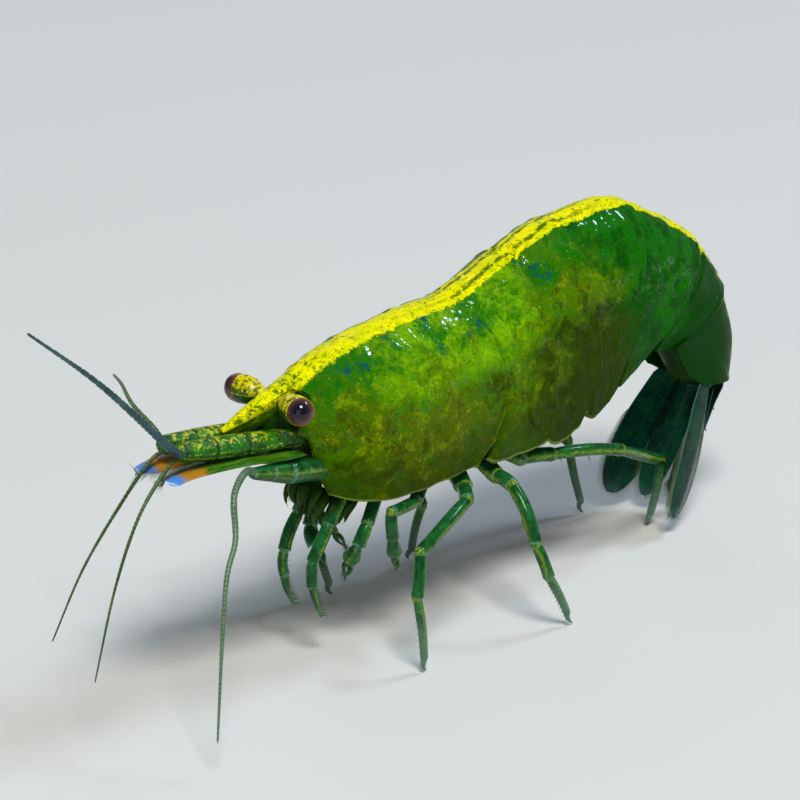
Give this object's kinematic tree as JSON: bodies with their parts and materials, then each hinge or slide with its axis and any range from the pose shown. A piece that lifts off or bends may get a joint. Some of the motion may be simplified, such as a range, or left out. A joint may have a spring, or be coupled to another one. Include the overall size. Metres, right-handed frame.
{
  "type": "freshwater dwarf shrimp, still life-size model",
  "caption": "Life-size still model of a green and yellow freshwater aquarium shrimp standing on its walking legs with its tail curled down.",
  "frame": {"origin": "centre of the model's bounding box on the floor it stands on", "axes": "head towards -X, tail towards +X, up +Z, the animal's left side at -Y"},
  "size_m": [0.0288, 0.0104, 0.0133],
  "materials": {
    "shell": "glossy translucent olive-green shell with a bright yellow stripe along the back",
    "tail_shell": "glossy translucent green shell plates, mottled, with a yellow stripe along the back",
    "leg_shell": "glossy clear green limbs with yellow edges and pale joints",
    "fan": "thin glossy dark green blades with pale blue edges",
    "feeler": "pale ringed feelers, satin",
    "stalk": "yellow-green speckled eyestalks",
    "eye": "very glossy dark brown-purple eye",
    "belly": "satin olive underside"
  },
  "bodies": {
    "root": {"antenna_base_left": "leg_shell", "antenna_base_right": "leg_shell", "antenna_left_root": "feeler", "antenna_left_tip": "feeler", "antenna_right_root": "feeler", "antenna_right_tip": "feeler", "antennal_scale_left": "fan", "antennal_scale_right": "fan", "antennule_inner_left": "feeler", "antennule_inner_right": "feeler", "antennule_left": "leg_shell", "antennule_outer_left": "feeler", "antennule_outer_right": "feeler", "antennule_right": "leg_shell", "carapace": "shell", "cheliped_1_left": "leg_shell", "cheliped_1_right": "leg_shell", "cheliped_2_left": "leg_shell", "cheliped_2_right": "leg_shell", "eye_left": "eye", "eye_right": "eye", "eyestalk_left": "stalk", "eyestalk_right": "stalk", "leg_3_left_lower": "leg_shell", "leg_3_left_upper": "leg_shell", "leg_3_right_lower": "leg_shell", "leg_3_right_upper": "leg_shell", "leg_4_left_lower": "leg_shell", "leg_4_left_upper": "leg_shell", "leg_4_right_lower": "leg_shell", "leg_4_right_upper": "leg_shell", "leg_5_left_lower": "leg_shell", "leg_5_left_upper": "leg_shell", "leg_5_right_lower": "leg_shell", "leg_5_right_upper": "leg_shell", "maxilliped_left": "leg_shell", "maxilliped_right": "leg_shell", "pleonite_1": "tail_shell", "pleonite_2": "tail_shell", "pleonite_3": "tail_shell", "pleonite_4": "tail_shell", "pleonite_5": "tail_shell", "pleonite_6": "tail_shell", "pleopod_1_left": "fan", "pleopod_1_right": "fan", "pleopod_2_left": "fan", "pleopod_2_right": "fan", "pleopod_3_left": "fan", "pleopod_3_right": "fan", "pleopod_4_left": "fan", "pleopod_4_right": "fan", "pleopod_5_left": "fan", "pleopod_5_right": "fan", "telson": "fan", "thorax": "belly", "uropod_inner_left": "fan", "uropod_inner_right": "fan", "uropod_outer_left": "fan", "uropod_outer_right": "fan"}
  },
  "joints": []
}
